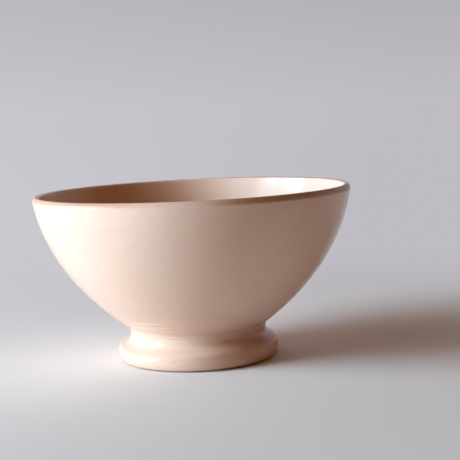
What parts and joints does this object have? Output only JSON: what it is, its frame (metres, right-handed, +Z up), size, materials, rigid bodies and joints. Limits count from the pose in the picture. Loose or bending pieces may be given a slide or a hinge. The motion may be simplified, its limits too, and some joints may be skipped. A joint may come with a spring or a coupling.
{
  "type": "cafe au lait bowl",
  "caption": "Footed breakfast bowl in pale pink glazed earthenware: wide deep bowl with a bevelled lip on a hollow rolled pedestal foot.",
  "frame": {"origin": "centre of the foot's resting ring, on the surface that the bowl stands on", "axes": "+Z up along the axis that the bowl was turned on; X and Y are alike, because the bowl is round"},
  "size_m": [0.14, 0.14, 0.0753],
  "materials": {
    "bowl_glaze": "glossy pale pink glaze, thinner and browner along the lip",
    "foot_glaze": "the same glossy pale pink glaze, pooled a little in the cove and wiped off the resting ring",
    "bare_clay": "dry unglazed earthenware, fine grained"
  },
  "bodies": {
    "root": {"bowl_body": "bowl_glaze", "slip_joint": "bare_clay", "pedestal_foot": "foot_glaze"}
  },
  "joints": []
}
